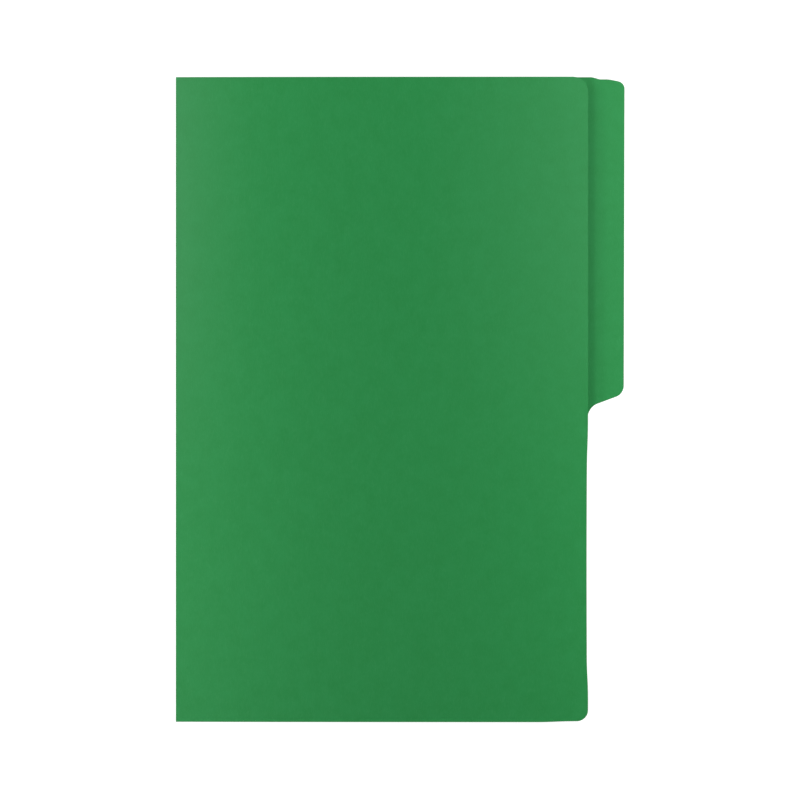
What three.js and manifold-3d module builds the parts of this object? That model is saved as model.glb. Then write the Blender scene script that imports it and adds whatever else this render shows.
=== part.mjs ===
// A half-cut tab document folder: one sheet of dyed card, scored and folded along its left edge.
// Millimetres, +Z up. It lies closed on its back cover, with the fold along -X and the tab along +X.
// The origin is the middle of the underside of its bounding box.
import * as THREE from "three";
import { mergeVertices } from "three/addons/utils/BufferGeometryUtils.js";
import Module from "manifold-3d";

// Sheet
const folderLength = 345; // along the fold
const coverWidth = 220.3; // outside of the fold to the free edge of either cover
const cardThickness = 0.3;

// How the closed folder stands open under the spring of its fold
const foldGap = 0.6; // clear height between the covers at the fold
const mouthGap = 4.6; // clear height between the covers at their free edges
const liftAngle = 2.6; // degrees at which the front cover leaves the fold

// Index tab, cut from the back cover
const tabReach = 19.7; // beyond the covers' free edge
const tabLength = 173.1; // top edge of the folder to the middle of the lower shoulder
const tabRoot = 0.5; // free edge to the line where the tab is told apart from its cover
const stepStart = 2.1; // free edge to the small step in the tab's top edge
const stepRun = 4.3;
const stepDrop = 1.3;
const shoulderAngle = 20; // degrees of the lower shoulder from square

// Die-cut corner radii
const frontTopRadius = 8;
const lowerCornerRadius = 6;
const stepRadius = 3;
const tabCornerRadius = 5.6;
const shoulderOuterRadius = 6;
const shoulderRootRadius = 7.6;

// Fineness of the facets
const archSteps = 20;
const foldSteps = 6; // in each half of the fold
const arcSegments = 5;
const trimAllowance = 2; // blank beyond a line that is then cut to it

// Places that follow from the sizes
const foldInnerRadius = foldGap / 2;
const foldOuterRadius = foldInnerRadius + cardThickness;
const halfLength = folderLength / 2;
const hingeX = -(coverWidth + tabReach) / 2; // outermost line of the fold, which the cover turns about
const hingeZ = foldOuterRadius;
const foldCentreX = hingeX + foldOuterRadius;
const freeEdgeX = hingeX + coverWidth;
const tabEdgeX = freeEdgeX + tabReach;
const lift = THREE.MathUtils.degToRad(liftAngle);

const cardGreen = 0x348a4d;

const wasm = await Module();
wasm.setup();

// A closed geometry as a solid that can be cut.
function solidOf(geometry) {
  const bare = geometry.clone();
  bare.deleteAttribute("normal");
  bare.deleteAttribute("uv");
  const merged = mergeVertices(bare);
  return new wasm.Manifold(
    new wasm.Mesh({
      numProp: 3,
      vertProperties: merged.attributes.position.array,
      triVerts: new Uint32Array(merged.index.array),
    }),
  );
}

function geometryOf(solid) {
  const { vertProperties, triVerts } = solid.getMesh();
  const geometry = new THREE.BufferGeometry();
  geometry.setAttribute("position", new THREE.BufferAttribute(vertProperties, 3));
  geometry.setIndex(new THREE.BufferAttribute(triVerts, 1));
  geometry.computeVertexNormals();
  return geometry;
}

// The outline through corners [x, y, radius], each rounded by its radius or by what its two sides allow.
function roundedOutline(corners) {
  const shape = new THREE.Shape();
  const points = corners.map(([x, y]) => new THREE.Vector2(x, y));
  const count = points.length;
  points.forEach((corner, i) => {
    const before = points[(i + count - 1) % count];
    const after = points[(i + 1) % count];
    const arriving = corner.clone().sub(before);
    const leaving = after.clone().sub(corner);
    const room = Math.min(arriving.length(), leaving.length()) / 2;
    arriving.normalize();
    leaving.normalize();
    const turn = Math.atan2(arriving.cross(leaving), arriving.dot(leaving));
    const tangentShare = Math.tan(Math.abs(turn) / 2);
    const radius = Math.min(corners[i][2], room / tangentShare);
    const start = corner.clone().addScaledVector(arriving, -radius * tangentShare);
    if (i === 0) shape.moveTo(start.x, start.y);
    else shape.lineTo(start.x, start.y);
    if (radius === 0) return;
    const side = Math.sign(turn);
    const inward = new THREE.Vector2(-arriving.y, arriving.x).multiplyScalar(side);
    const centre = start.clone().addScaledVector(inward, radius);
    const from = Math.atan2(-inward.y, -inward.x);
    shape.absarc(centre.x, centre.y, radius, from, from + turn, side < 0);
  });
  shape.closePath();
  return shape;
}

// A flat piece of the sheet, cut to an outline and as thick as asked.
function cutFlat(corners, thickness) {
  return new THREE.ExtrudeGeometry(roundedOutline(corners), {
    depth: thickness,
    bevelEnabled: false,
    curveSegments: arcSegments,
  });
}

// A section in X and Z, run along the whole length of the fold.
function runAlongFold(section) {
  const geometry = new THREE.ExtrudeGeometry(new THREE.Shape(section), {
    depth: folderLength,
    bevelEnabled: false,
  });
  geometry.rotateX(Math.PI / 2);
  geometry.translate(0, halfLength, 0);
  return geometry;
}

function onCircle(radius, angle) {
  return new THREE.Vector2(
    foldCentreX + radius * Math.cos(angle),
    hingeZ + radius * Math.sin(angle),
  );
}

// The rolled card of the fold between two angles about its centre.
function foldRoll(from, to) {
  const section = [];
  for (let i = 0; i <= foldSteps; i += 1) {
    section.push(onCircle(foldOuterRadius, THREE.MathUtils.lerp(from, to, i / foldSteps)));
  }
  for (let i = foldSteps; i >= 0; i -= 1) {
    section.push(onCircle(foldInnerRadius, THREE.MathUtils.lerp(from, to, i / foldSteps)));
  }
  return runAlongFold(section);
}

// The underside of the front cover. The fold's spring lifts the card and its own weight draws it
// down again, as on an evenly loaded cantilever, so that it comes to the mouth's clear height.
const archStart = onCircle(foldInnerRadius, Math.PI / 2 + lift);
const archSpan = freeEdgeX - archStart.x;
const springRise = archSpan * Math.tan(lift);
const sag = archStart.y + springRise - (cardThickness + mouthGap);

function archPoint(share, offset) {
  const height = springRise * share - (sag * share ** 2 * (6 - 4 * share + share ** 2)) / 3;
  const rate = springRise - sag * share * (4 - 4 * share + (4 / 3) * share ** 2);
  const slope = Math.atan2(rate, archSpan);
  return new THREE.Vector2(
    archStart.x + archSpan * share - offset * Math.sin(slope),
    archStart.y + height + offset * Math.cos(slope),
  );
}

function frontCoverGeometry() {
  const end = 1 + trimAllowance / archSpan;
  const section = [];
  for (let i = 0; i <= archSteps; i += 1) {
    section.push(archPoint((end * i) / archSteps, 0));
  }
  for (let i = archSteps; i >= 0; i -= 1) {
    section.push(archPoint((end * i) / archSteps, cardThickness));
  }
  const left = hingeX - trimAllowance;
  const outline = [
    [left, halfLength, 0],
    [freeEdgeX, halfLength, frontTopRadius],
    [freeEdgeX, -halfLength, lowerCornerRadius],
    [left, -halfLength, 0],
  ];
  const cutterHeight = 2 * (hingeZ + mouthGap + springRise);
  return geometryOf(solidOf(runAlongFold(section)).intersect(solidOf(cutFlat(outline, cutterHeight))));
}

// The back of the sheet: the cover and its tab, die-cut in one outline.
function backSheet() {
  const shoulderMiddle = halfLength - tabLength;
  const shoulderRise = (tabReach / 2) * Math.tan(THREE.MathUtils.degToRad(shoulderAngle));
  const tabTop = halfLength - stepDrop;
  const outline = [
    [foldCentreX, halfLength, 0],
    [freeEdgeX + stepStart, halfLength, stepRadius],
    [freeEdgeX + stepStart + stepRun, tabTop, stepRadius],
    [tabEdgeX, tabTop, tabCornerRadius],
    [tabEdgeX, shoulderMiddle + shoulderRise, shoulderOuterRadius],
    [freeEdgeX, shoulderMiddle - shoulderRise, shoulderRootRadius],
    [freeEdgeX, -halfLength, lowerCornerRadius],
    [foldCentreX, -halfLength, 0],
  ];
  return solidOf(cutFlat(outline, cardThickness));
}

// What lies on one side of the tab's root line: side is -1 towards the fold, 1 towards the tab.
function besideTabRoot(solid, side) {
  const reach = folderLength + coverWidth;
  const block = new THREE.BoxGeometry(reach, reach, reach);
  block.translate(freeEdgeX + tabRoot + (side * reach) / 2, 0, 0);
  return geometryOf(solid.intersect(solidOf(block)));
}

function cardPiece(name, geometry) {
  const material = new THREE.MeshStandardMaterial({ color: cardGreen, roughness: 0.85, metalness: 0 });
  const mesh = new THREE.Mesh(geometry, material);
  mesh.name = name;
  return mesh;
}

const group = new THREE.Group();
group.add(cardPiece("back_cover", besideTabRoot(backSheet(), -1)));
group.add(cardPiece("index_tab", besideTabRoot(backSheet(), 1)));
group.add(cardPiece("fold_back_half", foldRoll(Math.PI, 1.5 * Math.PI)));

// What turns with the front cover hangs on the outermost line of the fold.
const turningCover = new THREE.Group();
turningCover.position.set(hingeX, 0, hingeZ);
group.add(turningCover);
const turningPieces = [
  cardPiece("fold_front_half", foldRoll(Math.PI / 2 + lift, Math.PI)),
  cardPiece("front_cover", frontCoverGeometry()),
];
for (const piece of turningPieces) {
  piece.geometry.translate(-hingeX, 0, -hingeZ);
  turningCover.add(piece);
}

export default group;
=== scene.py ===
# A green card document folder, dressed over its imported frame.
# Metres, +Z up. The fold runs along -X and the tab stands out along +X.
import math

import bmesh
import bpy
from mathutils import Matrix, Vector, noise


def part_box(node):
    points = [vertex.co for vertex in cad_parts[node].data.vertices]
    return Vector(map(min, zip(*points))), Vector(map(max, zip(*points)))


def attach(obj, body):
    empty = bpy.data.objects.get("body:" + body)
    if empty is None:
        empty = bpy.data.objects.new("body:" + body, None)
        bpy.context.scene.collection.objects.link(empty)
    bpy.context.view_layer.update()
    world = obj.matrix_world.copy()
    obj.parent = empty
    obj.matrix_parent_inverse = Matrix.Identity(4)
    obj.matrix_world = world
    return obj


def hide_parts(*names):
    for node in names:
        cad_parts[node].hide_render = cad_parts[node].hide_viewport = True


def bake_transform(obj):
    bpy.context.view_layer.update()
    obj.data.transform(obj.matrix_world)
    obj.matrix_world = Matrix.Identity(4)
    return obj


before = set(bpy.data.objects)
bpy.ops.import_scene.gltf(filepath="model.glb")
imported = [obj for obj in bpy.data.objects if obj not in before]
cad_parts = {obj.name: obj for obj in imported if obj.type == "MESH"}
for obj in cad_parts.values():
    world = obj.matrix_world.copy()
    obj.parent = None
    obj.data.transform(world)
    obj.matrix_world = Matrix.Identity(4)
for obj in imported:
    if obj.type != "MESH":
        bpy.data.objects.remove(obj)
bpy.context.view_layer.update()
print("frame loaded")

mm = 0.001

# A vertex nearer than this to a line counts as on it
tolerance = 0.001 * mm
closeTolerance = 0.0001 * mm

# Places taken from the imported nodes
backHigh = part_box("back_cover")[1]
tabLow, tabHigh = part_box("index_tab")
foldLow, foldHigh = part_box("fold_back_half")
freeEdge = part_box("front_cover")[1].x
halfLength = backHigh.y
foldLine = foldHigh.x  # the flat of the back cover starts here
hingeX = foldLow.x
hingeZ = foldHigh.z
tabRoot = tabLow.x
tabEdge = tabHigh.x
cardThickness = backHigh.z


def smoothStep(start, end, value):
    share = min(max((value - start) / (end - start), 0), 1)
    return share * share * (3 - 2 * share)


def linearColour(hexCode):
    channels = []
    for place in (1, 3, 5):
        value = int(hexCode[place:place + 2], 16) / 255
        channels.append(value / 12.92 if value <= 0.04045 else ((value + 0.055) / 1.055) ** 2.4)
    return (*channels, 1.0)


def addNode(tree, kind, settings=None, links=None):
    # Settings are a node's own properties or its sockets' values, colours in hex; links feed its sockets
    node = tree.nodes.new("ShaderNode" + kind)
    for key, value in (settings or {}).items():
        if isinstance(key, str) and hasattr(node, key):
            setattr(node, key, value)
        elif isinstance(value, str):
            node.inputs[key].default_value = linearColour(value)
        else:
            node.inputs[key].default_value = value
    for key, source in (links or {}).items():
        tree.links.new(source, node.inputs[key])
    return node


# Where a Mix node keeps its two colours and the mixed one
firstColour = 6
secondColour = 7
mixedColour = 2

# Machine-made card dyed in the mass: matte, and a little cloudy where the pulp lies thicker
cardSettings = {
    "deep": "#228541",
    "light": "#268a47",
    "flock": {"size": 7 * mm, "detail": 3, "range": (0.32, 0.68), "share": 0.65},
    "mottle": {"size": 1.4 * mm, "detail": 2, "range": (0.3, 0.7), "share": 0.35},
    "cloudRoughness": 0.55,
    "roughness": (0.48, 0.62),
    "ior": 1.5,
    "specular": 0.18,  # uncoated card has little gloss
    "sheen": 0.02,
    "sheenRoughness": 0.6,
}

# Paler fibres show in the dyed pulp, lying three ways
fibreSettings = {
    "colour": "#43995d",
    "show": 0.3,
    "angles": (12, -47, 78),
    "length": 2.6 * mm,
    "width": 0.16 * mm,  # real ones are 0.03 mm wide, too fine to show
    "depth": 7 * mm,
    "range": (0.6, 0.76),
    "wander": 1.2 * mm,
    "wanderSize": 4 * mm,
    "relief": 0.5,
}


def fibreStrands(tree, place):
    # Fibres wander: their place is bent by a slow noise before it is stretched along them
    fibre = fibreSettings
    wander = addNode(tree, "TexNoise", {"Scale": 1 / fibre["wanderSize"], "Detail": 1}, {"Vector": place})
    bend = addNode(
        tree,
        "VectorMath",
        {"operation": "SCALE", "Scale": fibre["wander"]},
        {0: wander.outputs["Color"]},
    )
    bent = addNode(tree, "VectorMath", {"operation": "ADD"}, {0: place, 1: bend.outputs[0]})
    lowest, highest = fibre["range"]
    fibres = None
    for angle in fibre["angles"]:
        turned = addNode(
            tree,
            "Mapping",
            {
                "Rotation": (0, 0, math.radians(angle)),
                "Scale": (1 / fibre["width"], 1 / fibre["length"], 1 / fibre["depth"]),
            },
            {"Vector": bent.outputs[0]},
        )
        threads = addNode(tree, "TexNoise", {"Scale": 1, "Detail": 1}, {"Vector": turned.outputs[0]})
        strands = addNode(
            tree,
            "MapRange",
            {"From Min": lowest, "From Max": highest},
            {"Value": threads.outputs["Fac"]},
        ).outputs["Result"]
        if fibres is None:
            fibres = strands
        else:
            fibres = addNode(tree, "Math", {"operation": "MAXIMUM"}, {0: fibres, 1: strands}).outputs[0]
    return fibres


# Painted sheen: the two long edges are made faintly paler and greyer, a whitish gloss painted into the
# colour, most of all towards the end with the tab
sheenPaintSettings = {
    "colour": "#769882",
    "fullSheen": 1,
    "halfSheen": 0.5,
    "byFold": 0.1,  # share of the painted sheen's colour in the card's own colour
    "byFreeEdge": 0.08,
    "foldReach": 60 * mm,
    "foldFalloff": 2,
    "freeEdgeReach": 90 * mm,
    "strongFrom": 120 * mm,
    "goneBy": -90 * mm,
}


# Mask of the painted sheen: paler along the fold and the free edge, strongest towards the tab's end
def paintedSheen(tree, place, sheenShare):
    sheenPaint = sheenPaintSettings
    spot = addNode(tree, "SeparateXYZ", {}, {0: place})
    nearFold = addNode(
        tree,
        "MapRange",
        {"From Min": hingeX + sheenPaint["foldReach"], "From Max": hingeX},
        {"Value": spot.outputs["X"]},
    )
    nearFold = addNode(
        tree,
        "Math",
        {"operation": "POWER", 1: sheenPaint["foldFalloff"]},
        {0: nearFold.outputs["Result"]},
    )
    byFold = addNode(tree, "Math", {"operation": "MULTIPLY", 1: sheenPaint["byFold"]}, {0: nearFold.outputs[0]})
    byFreeEdge = addNode(
        tree,
        "MapRange",
        {
            "From Min": freeEdge - sheenPaint["freeEdgeReach"],
            "From Max": freeEdge,
            "To Max": sheenPaint["byFreeEdge"],
        },
        {"Value": spot.outputs["X"]},
    )
    alongEdges = addNode(
        tree,
        "Math",
        {"operation": "MAXIMUM"},
        {0: byFold.outputs[0], 1: byFreeEdge.outputs["Result"]},
    )
    towardsTab = addNode(
        tree,
        "MapRange",
        {
            "From Min": sheenPaint["goneBy"],
            "From Max": sheenPaint["strongFrom"],
            "To Max": sheenShare,
            "interpolation_type": "SMOOTHSTEP",
        },
        {"Value": spot.outputs["Y"]},
    )
    return addNode(
        tree,
        "Math",
        {"operation": "MULTIPLY"},
        {0: alongEdges.outputs[0], 1: towardsTab.outputs["Result"]},
    ).outputs[0]


# The score stretches the outer ply, so the fold's outermost line is a little paler, unevenly along it
wornSettings = {
    "colour": "#5aa873",
    "show": 0.6,
    "reach": 0.35 * mm,
    "patch": 2.5 * mm,
    "detail": 3,
    "range": (0.35, 0.7),
}


def wornLine(tree, place):
    worn = wornSettings
    across = addNode(tree, "SeparateXYZ", {}, {0: place}).outputs["X"]
    nearFold = addNode(
        tree,
        "MapRange",
        {"From Min": hingeX + worn["reach"], "From Max": hingeX, "interpolation_type": "SMOOTHSTEP"},
        {"Value": across},
    )
    patches = addNode(
        tree,
        "TexNoise",
        {"Scale": 1 / worn["patch"], "Detail": worn["detail"], "Roughness": cardSettings["cloudRoughness"]},
        {"Vector": place},
    )
    lowest, highest = worn["range"]
    uneven = addNode(
        tree,
        "MapRange",
        {"From Min": lowest, "From Max": highest},
        {"Value": patches.outputs["Fac"]},
    )
    rubbedOff = addNode(
        tree,
        "Math",
        {"operation": "MULTIPLY"},
        {0: nearFold.outputs["Result"], 1: uneven.outputs["Result"]},
    )
    return addNode(
        tree,
        "Math",
        {"operation": "MULTIPLY", 1: worn["show"]},
        {0: rubbedOff.outputs[0]},
    ).outputs[0]


# The die bares the plies: fine layers along the edge, in the paler green of torn fibre
plySettings = {"colour": "#3d9156", "fleck": 3 * mm, "layers": 7, "detail": 3, "range": (0.35, 0.65)}


def baredPlies(tree, place):
    plies = plySettings
    flat = addNode(
        tree,
        "VectorMath",
        {"operation": "MULTIPLY", 1: (1 / plies["fleck"], 1 / plies["fleck"], 0)},
        {0: place},
    )
    ply = addNode(tree, "Attribute", {"attribute_name": "ply"}).outputs["Fac"]
    upwards = addNode(tree, "CombineXYZ", {}, {"Z": ply})
    upwards = addNode(
        tree,
        "VectorMath",
        {"operation": "SCALE", "Scale": plies["layers"]},
        {0: upwards.outputs[0]},
    )
    layered = addNode(tree, "VectorMath", {"operation": "ADD"}, {0: flat.outputs[0], 1: upwards.outputs[0]})
    torn = addNode(
        tree,
        "TexNoise",
        {"Scale": 1, "Detail": plies["detail"]},
        {"Vector": layered.outputs[0]},
    )
    lowest, highest = plies["range"]
    return addNode(
        tree,
        "MapRange",
        {"From Min": lowest, "From Max": highest},
        {"Value": torn.outputs["Fac"]},
    ).outputs["Result"]


# The paper machine's felt leaves a fine tooth, rougher where it stands up
toothSettings = {
    "size": 0.35 * mm,
    "detail": 3,
    "roughness": 0.6,
    "range": (0.3, 0.7),
    "depth": 0.02 * mm,
    "strength": 0.5,
}


def dyedCard(name, sheenShare=0, wornFold=False, cutEdge=False):
    card = cardSettings
    material = bpy.data.materials.new(name)
    material.use_nodes = True
    tree = material.node_tree
    tree.nodes.clear()
    place = addNode(tree, "TexCoord").outputs["Object"]

    density = None
    for cloud in (card["flock"], card["mottle"]):
        lowest, highest = cloud["range"]
        texture = addNode(
            tree,
            "TexNoise",
            {"Scale": 1 / cloud["size"], "Detail": cloud["detail"], "Roughness": card["cloudRoughness"]},
            {"Vector": place},
        )
        clouds = addNode(
            tree,
            "MapRange",
            {"From Min": lowest, "From Max": highest},
            {"Value": texture.outputs["Fac"]},
        )
        share = addNode(
            tree,
            "Math",
            {"operation": "MULTIPLY_ADD", 1: cloud["share"], 2: 0},
            {0: clouds.outputs["Result"]},
        )
        if density is not None:
            tree.links.new(density, share.inputs[2])
        density = share.outputs[0]
    colour = addNode(
        tree,
        "Mix",
        {"data_type": "RGBA", firstColour: card["deep"], secondColour: card["light"]},
        {0: density},
    ).outputs[mixedColour]

    fibres = fibreStrands(tree, place)
    shown = addNode(tree, "Math", {"operation": "MULTIPLY", 1: fibreSettings["show"]}, {0: fibres})
    finishes = [(shown.outputs[0], fibreSettings["colour"])]
    # Painted sheen: a paler, whitish colour mixed in along the long edges stands in for gloss from the
    # lamps
    if sheenShare:
        finishes.append((paintedSheen(tree, place, sheenShare), sheenPaintSettings["colour"]))
    if wornFold:
        finishes.append((wornLine(tree, place), wornSettings["colour"]))
    if cutEdge:
        finishes.append((baredPlies(tree, place), plySettings["colour"]))
    for amount, finishColour in finishes:
        colour = addNode(
            tree,
            "Mix",
            {"data_type": "RGBA", secondColour: finishColour},
            {0: amount, firstColour: colour},
        ).outputs[mixedColour]

    tooth = toothSettings
    felt = addNode(
        tree,
        "TexNoise",
        {"Scale": 1 / tooth["size"], "Detail": tooth["detail"], "Roughness": tooth["roughness"]},
        {"Vector": place},
    ).outputs["Fac"]
    relief = addNode(
        tree,
        "Math",
        {"operation": "MULTIPLY_ADD", 1: fibreSettings["relief"]},
        {0: fibres, 2: felt},
    )
    bump = addNode(
        tree,
        "Bump",
        {"Strength": tooth["strength"], "Distance": tooth["depth"]},
        {"Height": relief.outputs[0]},
    )
    lowest, highest = tooth["range"]
    smoothest, roughest = card["roughness"]
    roughness = addNode(
        tree,
        "MapRange",
        {"From Min": lowest, "From Max": highest, "To Min": smoothest, "To Max": roughest},
        {"Value": felt},
    )
    shader = addNode(
        tree,
        "BsdfPrincipled",
        {
            "IOR": card["ior"],
            "Specular IOR Level": card["specular"],
            "Sheen Weight": card["sheen"],
            "Sheen Roughness": card["sheenRoughness"],
        },
        {"Base Color": colour, "Roughness": roughness.outputs["Result"], "Normal": bump.outputs["Normal"]},
    )
    addNode(tree, "OutputMaterial", {}, {"Surface": shader.outputs[0]})
    return material


# Painted sheen is mixed into the covers and the fold: at full strength on the front cover and fold, half on
# the back cover and tab
cardFace = dyedCard("dyedCard", sheenShare=sheenPaintSettings["halfSheen"])
cardSheenPainted = dyedCard("sheenPaintedCard", sheenShare=sheenPaintSettings["fullSheen"])
cardCut = dyedCard("dieCutCardEdge", cutEdge=True)
cardFold = dyedCard("scoredCard", sheenShare=sheenPaintSettings["fullSheen"], wornFold=True)
print("card materials ready")

# Both covers are cut from one sheet; places along it are measured from the folder's middle
sheetSettings = {
    "facet": 4 * mm,
    "cornerSegments": 8,
    "lowerCornerRadius": 6 * mm,
    "burr": 0.05 * mm,  # rounding that the die leaves along a cut edge
    "burrSegments": 2,
    "bow": 0.75 * mm,  # how far the lower free edge is drawn in between its ends
    "bowReach": 15 * mm,
    "bowUpperEnd": (-12 * mm, -36 * mm),
    "bowLowerEnd": (-158 * mm, -140 * mm),
    "bowMiddle": -91 * mm,
    "bowHalfLength": 70 * mm,
    "bowEase": 0.35,  # it is this much shallower at half its length from its middle
    "endTrim": 0.15 * mm,  # each end of the sheet is cut this much short
    "endReach": 20 * mm,
    "cornerRise": 0.5 * mm,  # the lower end is cut shorter by this much more at its free corner
    "cornerRiseRange": (74 * mm, 92 * mm),
    "rimAngle": 1,  # radians; an edge sharper than this belongs to the cut rim
    "smoothAngle": 0.35,  # radians; the surface runs smoothly over an edge blunter than this
    "cutFacing": 0.5,  # how squarely a face looks out along the sheet before it counts as cut
}


def cutOutline(corners):
    # The flat sheet through corners [x, y, radius], rounded as the die rounds them
    sheet = bmesh.new()
    verts = [sheet.verts.new((x, y, 0)) for x, y, radius in corners]
    sheet.faces.new(verts)
    for number, (x, y, radius) in enumerate(corners):
        if radius == 0:
            continue
        here = Vector((x, y))
        arriving = here - Vector(corners[number - 1][:2])
        leaving = Vector(corners[(number + 1) % len(corners)][:2]) - here
        bmesh.ops.bevel(
            sheet,
            geom=[verts[number]],
            offset=radius * math.tan(arriving.angle(leaving) / 2),
            offset_type="OFFSET",
            affect="VERTICES",
            segments=sheetSettings["cornerSegments"],
            profile=0.5,
            material=-1,
        )
    return sheet


def ruleGrid(sheet, facet):
    # Cuts the sheet into facets small enough to bend
    for axis in (0, 1):
        places = [vert.co[axis] for vert in sheet.verts]
        low, high = min(places), max(places)
        count = round((high - low) / facet)
        for i in range(1, count):
            middle = Vector((0, 0, 0))
            middle[axis] = low + (high - low) * i / count
            normal = (1, 0, 0) if axis == 0 else (0, 1, 0)
            everything = sheet.verts[:] + sheet.edges[:] + sheet.faces[:]
            bmesh.ops.bisect_plane(sheet, geom=everything, plane_co=middle, plane_no=normal, dist=tolerance)


def keepSide(sheet, x, side):
    # Cuts the sheet at a line and keeps one side of it: -1 towards the fold, 1 away from it
    everything = sheet.verts[:] + sheet.edges[:] + sheet.faces[:]
    bmesh.ops.bisect_plane(
        sheet,
        geom=everything,
        plane_co=(x, 0, 0),
        plane_no=(1, 0, 0),
        dist=closeTolerance,
        clear_outer=side < 0,
        clear_inner=side > 0,
    )


def drawIn(sheet):
    # What the die's lines depart from straight
    card = sheetSettings
    for vert in sheet.verts:
        x, y = vert.co.x, vert.co.y
        hollow = smoothStep(*card["bowUpperEnd"], y) * smoothStep(*card["bowLowerEnd"], y)
        hollow *= 1 - card["bowEase"] * ((y - card["bowMiddle"]) / card["bowHalfLength"]) ** 2
        vert.co.x -= card["bow"] * hollow * smoothStep(freeEdge - card["bowReach"], freeEdge, x)
        atEnd = smoothStep(halfLength - card["endReach"], halfLength, abs(y))
        trim = card["endTrim"]
        if y < 0:
            trim += card["cornerRise"] * smoothStep(*card["cornerRiseRange"], x)
        vert.co.y -= math.copysign(trim * atEnd, y)


def thicken(sheet, seams):
    # Gives the card its thickness, upwards from z = 0, and rounds the cut rim; a seam is a line x = value
    ply = sheet.verts.layers.float.new("ply")
    bmesh.ops.solidify(sheet, geom=sheet.faces[:], thickness=cardThickness)
    middle = sum(vert.co.z for vert in sheet.verts) / len(sheet.verts)
    for vert in sheet.verts:
        vert[ply] = 1 if vert.co.z > middle else 0
        vert.co.z = cardThickness * vert[ply]
    bmesh.ops.recalc_face_normals(sheet, faces=sheet.faces[:])

    rim = []
    for edge in sheet.edges:
        level = edge.verts[0][ply] == edge.verts[1][ply]
        onSeam = any(abs(vert.co.x - seam) < tolerance for vert in edge.verts for seam in seams)
        if level and edge.calc_face_angle(0) > sheetSettings["rimAngle"] and not onSeam:
            rim.append(edge)
    bmesh.ops.bevel(
        sheet,
        geom=rim,
        offset=sheetSettings["burr"],
        offset_type="OFFSET",
        affect="EDGES",
        segments=sheetSettings["burrSegments"],
        profile=0.5,
        material=-1,
    )


def finishPiece(sheet, name, face, cutFaces):
    # Cut faces take the bared plies: all round for the flat covers, at both ends for the rolled fold
    sheet.normal_update()
    facing = sheetSettings["cutFacing"]
    for polygon in sheet.faces:
        polygon.smooth = True
        if cutFaces == "round":
            cut = abs(polygon.normal.z) < facing
        else:
            cut = abs(polygon.normal.y) > facing
        polygon.material_index = 1 if cut else 0
    for edge in sheet.edges:
        edge.smooth = edge.calc_face_angle(0) < sheetSettings["smoothAngle"]
    mesh = bpy.data.meshes.new(name)
    sheet.to_mesh(mesh)
    sheet.free()
    mesh.materials.append(face)
    mesh.materials.append(cardCut)
    piece = bpy.data.objects.new(name, mesh)
    bpy.context.scene.collection.objects.link(piece)
    return piece


# Back cover and index tab, one blank
tabSettings = {
    "stepStart": 2.1 * mm,  # free edge to the small step in the tab's top edge
    "stepRun": 4.3 * mm,
    "stepDrop": 1.3 * mm,
    "stepRadius": 3 * mm,
    "cornerRadius": 4.2 * mm,
    "length": 173.1 * mm,
    "shoulderDegrees": 20,
    "shoulderOuterRadius": 6 * mm,
    "shoulderRootRadius": 7.6 * mm,
    "facet": 2 * mm,
    "lean": 0.45 * mm,  # the outer edge runs in by this much from the top corner to the shoulder
    "topFall": 1.0 * mm,  # the top edge falls away by this much before the corner
    "topFallRange": (0.52, 0.86),  # shares of the way from the tab's root to its edge
    "trimRange": (0.3, 0),
    "topReach": 20 * mm,
}


def backBlank():
    tab = tabSettings
    middle = halfLength - tab["length"]
    rise = (tabEdge - freeEdge) / 2 * math.tan(math.radians(tab["shoulderDegrees"]))
    tabTop = halfLength - tab["stepDrop"]
    return cutOutline([
        [foldLine, -halfLength, 0],
        [freeEdge, -halfLength, sheetSettings["lowerCornerRadius"]],
        [freeEdge, middle - rise, tab["shoulderRootRadius"]],
        [tabEdge, middle + rise, tab["shoulderOuterRadius"]],
        [tabEdge, tabTop, tab["cornerRadius"]],
        [freeEdge + tab["stepStart"] + tab["stepRun"], tabTop, tab["stepRadius"]],
        [freeEdge + tab["stepStart"], halfLength, tab["stepRadius"]],
        [foldLine, halfLength, 0],
    ])


def leanTab(sheet):
    tab = tabSettings
    for vert in sheet.verts:
        share = (vert.co.x - tabRoot) / (tabEdge - tabRoot)
        vert.co.x -= tab["lean"] * share * (1 - vert.co.y / halfLength)
        nearTop = smoothStep(halfLength - tab["topReach"], halfLength, vert.co.y)
        fall = tab["topFall"] * smoothStep(*tab["topFallRange"], share)
        fall += sheetSettings["endTrim"] * smoothStep(*tab["trimRange"], share)
        vert.co.y -= fall * nearTop


backSheet = backBlank()
keepSide(backSheet, tabRoot, -1)
ruleGrid(backSheet, sheetSettings["facet"])
drawIn(backSheet)
thicken(backSheet, [foldLine, tabRoot])
backCover = finishPiece(backSheet, "backCover", cardFace, "round")
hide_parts("back_cover")
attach(backCover, "back")

tabSheet = backBlank()
keepSide(tabSheet, tabRoot, 1)
ruleGrid(tabSheet, tabSettings["facet"])
leanTab(tabSheet)
thicken(tabSheet, [tabRoot])
indexTab = finishPiece(tabSheet, "indexTab", cardFace, "round")
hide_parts("index_tab")
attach(indexTab, "back")
print("back cover and tab cut")

# Front cover: the fold's spring lifts it, and its own weight draws it down again
frontSettings = {
    "liftDegrees": 2.6,
    "mouthGap": 4.6 * mm,
    "topRadius": 8 * mm,
    "sag": 0.35 * mm,  # slow unevenness of a handled sheet, always downwards
    "sagLength": 90 * mm,
}
lift = math.radians(frontSettings["liftDegrees"])
innerRadius = hingeZ - cardThickness
archStart = Vector((foldLine - innerRadius * math.sin(lift), 0, hingeZ + innerRadius * math.cos(lift)))
archSpan = freeEdge - archStart.x
springRise = archSpan * math.tan(lift)
archDrop = archStart.z + springRise - cardThickness - frontSettings["mouthGap"]


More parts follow.
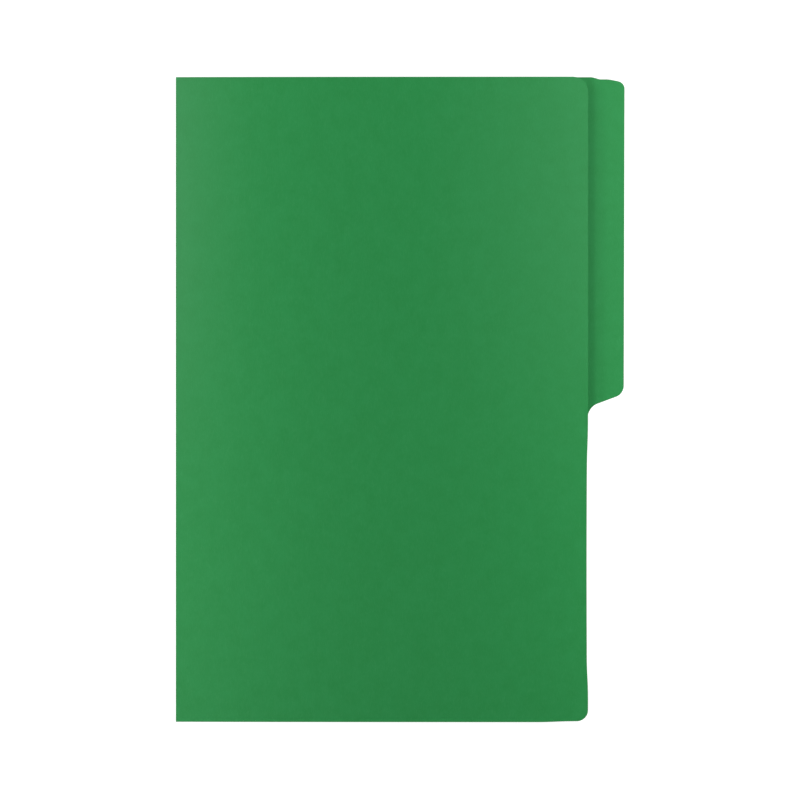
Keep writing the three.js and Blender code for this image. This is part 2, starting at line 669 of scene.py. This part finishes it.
def archCover(sheet):
    # The curve of an evenly loaded cantilever, and its slope
    for vert in sheet.verts:
        share = (vert.co.x - archStart.x) / archSpan
        offset = vert.co.z
        height = springRise * share - archDrop * share**2 * (6 - 4 * share + share**2) / 3
        rate = springRise - archDrop * share * (4 - 4 * share + 4 / 3 * share**2)
        slope = math.atan2(rate, archSpan)
        place = Vector((vert.co.x, vert.co.y, 0)) / frontSettings["sagLength"]
        uneven = frontSettings["sag"] * share**2 * (0.5 + 0.5 * noise.noise(place))
        vert.co.x -= offset * math.sin(slope)
        vert.co.z = archStart.z + height + offset * math.cos(slope) - uneven


frontSheet = cutOutline([
    [archStart.x, -halfLength, 0],
    [freeEdge, -halfLength, sheetSettings["lowerCornerRadius"]],
    [freeEdge, halfLength, frontSettings["topRadius"]],
    [archStart.x, halfLength, 0],
])
ruleGrid(frontSheet, sheetSettings["facet"])
drawIn(frontSheet)
thicken(frontSheet, [archStart.x])
archCover(frontSheet)
frontCover = finishPiece(frontSheet, "frontCover", cardSheenPainted, "round")
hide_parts("front_cover")
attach(frontCover, "front")
print("front cover arched")

# The fold: the card's end face swept round from the back cover to the front cover
foldSettings = {"steps": 18, "facets": 86, "blendStart": cardThickness, "blendEnd": hingeZ + innerRadius}
foldHalfLength = halfLength - sheetSettings["endTrim"]
roll = bmesh.new()
ply = roll.verts.layers.float.new("ply")
section = bmesh.ops.create_grid(roll, x_segments=1, y_segments=foldSettings["facets"], size=0.5)["verts"]
for vert in section:
    across = vert.co.x + 0.5
    along = vert.co.y * 2
    vert.co = (foldLine, foldHalfLength * along, cardThickness * (1 - across))
    vert[ply] = across
bmesh.ops.spin(
    roll,
    geom=roll.verts[:] + roll.edges[:] + roll.faces[:],
    cent=(foldLine, 0, hingeZ),
    axis=(0, 1, 0),
    angle=math.pi - lift,
    steps=foldSettings["steps"],
)
bmesh.ops.recalc_face_normals(roll, faces=roll.faces[:])
scoredFold = finishPiece(roll, "scoredFold", cardFold, "ends")
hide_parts("fold_back_half", "fold_front_half")
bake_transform(scoredFold)
print("fold rolled")

# Floor, white to the camera and a plain pale grey to the lamps, a hair under the folder
floorSettings = {
    "side": 8,
    "drop": 0.02 * mm,
    "colour": "#dcdcdc",
    "shadowShare": "#8f8f8f",
    "glow": 0.9,
}
floorSheet = bmesh.new()
bmesh.ops.create_grid(floorSheet, x_segments=1, y_segments=1, size=floorSettings["side"] / 2)
floorMesh = bpy.data.meshes.new("floor")
floorSheet.to_mesh(floorMesh)
floorSheet.free()
floor = bpy.data.objects.new("floor", floorMesh)
floor.location.z = -floorSettings["drop"]
bpy.context.scene.collection.objects.link(floor)

paper = bpy.data.materials.new("paleFloor")
paper.use_nodes = True
floorTree = paper.node_tree
floorTree.nodes.clear()
ray = addNode(floorTree, "LightPath")
seen = addNode(
    floorTree,
    "Math",
    {"operation": "MAXIMUM"},
    {0: ray.outputs["Is Camera Ray"], 1: ray.outputs["Is Glossy Ray"]},
)
plain = addNode(floorTree, "BsdfDiffuse", {"Color": floorSettings["colour"]})
shaded = addNode(floorTree, "BsdfDiffuse", {"Color": floorSettings["shadowShare"]})
glow = addNode(floorTree, "Emission", {"Strength": floorSettings["glow"]})
white = addNode(floorTree, "AddShader", {}, {0: shaded.outputs[0], 1: glow.outputs[0]})
both = addNode(floorTree, "MixShader", {}, {0: seen.outputs[0], 1: plain.outputs[0], 2: white.outputs[0]})
addNode(floorTree, "OutputMaterial", {}, {"Surface": both.outputs[0]})
floorMesh.materials.append(paper)

# Studio: a faint white surround, which the camera sees at full white
studioSettings = {"colour": "#ffffff", "surround": 0.12, "backdrop": 1}
world = bpy.data.worlds.new("studio")
bpy.context.scene.world = world
world.use_nodes = True
worldTree = world.node_tree
worldTree.nodes.clear()
worldRay = addNode(worldTree, "LightPath").outputs["Is Camera Ray"]
around = addNode(
    worldTree,
    "Background",
    {"Color": studioSettings["colour"], "Strength": studioSettings["surround"]},
)
backdrop = addNode(
    worldTree,
    "Background",
    {"Color": studioSettings["colour"], "Strength": studioSettings["backdrop"]},
)
sky = addNode(worldTree, "MixShader", {}, {0: worldRay, 1: around.outputs[0], 2: backdrop.outputs[0]})
addNode(worldTree, "OutputWorld", {}, {"Surface": sky.outputs[0]})

# A long softbox stands at the left, and low panels close round the folder brighten its edges
lampSettings = {
    "softLeft": {
        "at": (-0.473, -0.15, 0.69),
        "towards": (0.1, 0, 0),
        "size": (0.9, 0.28),
        "power": 2.45,
    },
    "panelLeft": {
        "at": (-0.18, 0.2, 0.15),
        "towards": (-0.14, 0.2, 0),
        "size": (0.9, 0.06),
        "power": 0.52,
    },
    "panelRight": {
        "at": (0.26, 0.25, 0.16),
        "towards": (0.12, 0.25, 0),
        "size": (0.9, 0.1),
        "power": 1.31,
    },
    "panelNear": {
        "at": (0.05, -0.33, 0.12),
        "towards": (0.05, -0.2, 0),
        "size": (0.35, 0.08),
        "power": 0.08,
    },
    "panelFar": {
        "at": (0.05, 0.33, 0.12),
        "towards": (0.05, 0.2, 0),
        "size": (0.35, 0.08),
        "power": 0.09,
    },
}
for name, lamp in lampSettings.items():
    light = bpy.data.lights.new(name, "AREA")
    light.shape = "RECTANGLE"
    light.size, light.size_y = lamp["size"]
    light.energy = lamp["power"]
    holder = bpy.data.objects.new(name, light)
    holder.location = lamp["at"]
    aim = Vector(lamp["towards"]) - Vector(lamp["at"])
    holder.rotation_euler = aim.to_track_quat("-Z", "Y").to_euler()
    bpy.context.scene.collection.objects.link(holder)

cameraSettings = {
    "height": 3.0,
    "aim": (-0.12 * mm, -0.3 * mm),  # the object's middle lies this little off the photograph's middle
    "frameWidth": 427.9 * mm,
    "sensor": 36,
    "seesTo": 20,
}
cameraData = bpy.data.cameras.new("camera")
cameraData.sensor_width = cameraSettings["sensor"]
cameraData.lens = cameraSettings["sensor"] * cameraSettings["height"] / cameraSettings["frameWidth"]
cameraData.clip_end = cameraSettings["seesTo"]
camera = bpy.data.objects.new("camera", cameraData)
camera.location = (*cameraSettings["aim"], cameraSettings["height"])
bpy.context.scene.collection.objects.link(camera)
bpy.context.scene.camera = camera
bpy.context.scene.view_settings.view_transform = "Standard"
print("floor, lamps and camera set")
